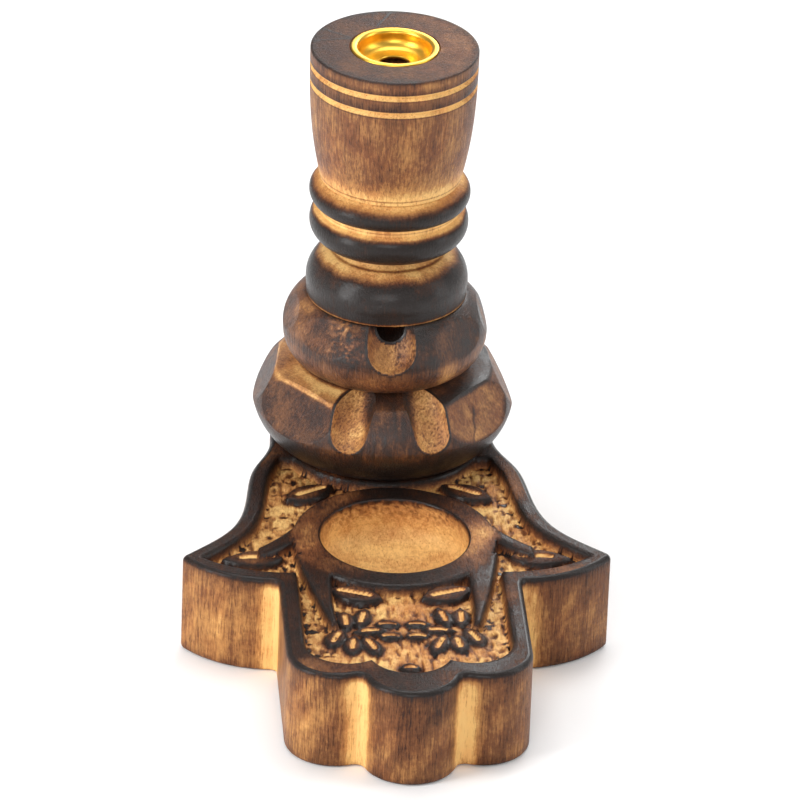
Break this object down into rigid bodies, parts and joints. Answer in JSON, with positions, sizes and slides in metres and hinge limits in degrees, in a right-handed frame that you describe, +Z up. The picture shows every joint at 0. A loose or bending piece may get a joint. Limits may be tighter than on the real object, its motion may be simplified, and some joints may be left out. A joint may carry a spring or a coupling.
{
  "type": "backflow incense burner",
  "caption": "Carved wooden backflow incense burner: a turned column with a metal cone cup over two gouged discs and a hand-shaped base with a candle bowl.",
  "frame": {"origin": "on the underside of the base, in the middle of the overall plan", "axes": "+Z up the column, -Y from the column towards the fingers and the spouts, +X to the right seen from the front"},
  "size_m": [0.1202, 0.1854, 0.1534],
  "materials": {
    "base_wood": "carved mango wood, torched dark on the raised faces, pale where chiselled",
    "disc_wood": "turned and gouged mango wood, torched and rubbed",
    "stem_wood": "turned mango wood, torched on the beads and edges",
    "cup_metal": "stamped gold-coloured metal, bright satin",
    "dowel_wood": "plain beech dowel",
    "screw_steel": "zinc-plated wood screw"
  },
  "bodies": {
    "burner": {"hamsa_base": "base_wood", "lower_cascade_disc": "disc_wood", "upper_cascade_disc": "disc_wood", "dome_collar": "stem_wood", "bead_ring": "stem_wood", "barrel_head": "stem_wood", "disc_dowel_front": "dowel_wood", "disc_dowel_back": "dowel_wood", "base_screw_left": "screw_steel", "base_screw_right": "screw_steel"},
    "cup": {"smoke_cup": "cup_metal"}
  },
  "joints": [
    {"name": "cup_lift", "type": "slide", "parent": "burner", "child": "cup", "axis": [0, 0, 1], "range_m": [0, 0.02]}
  ]
}
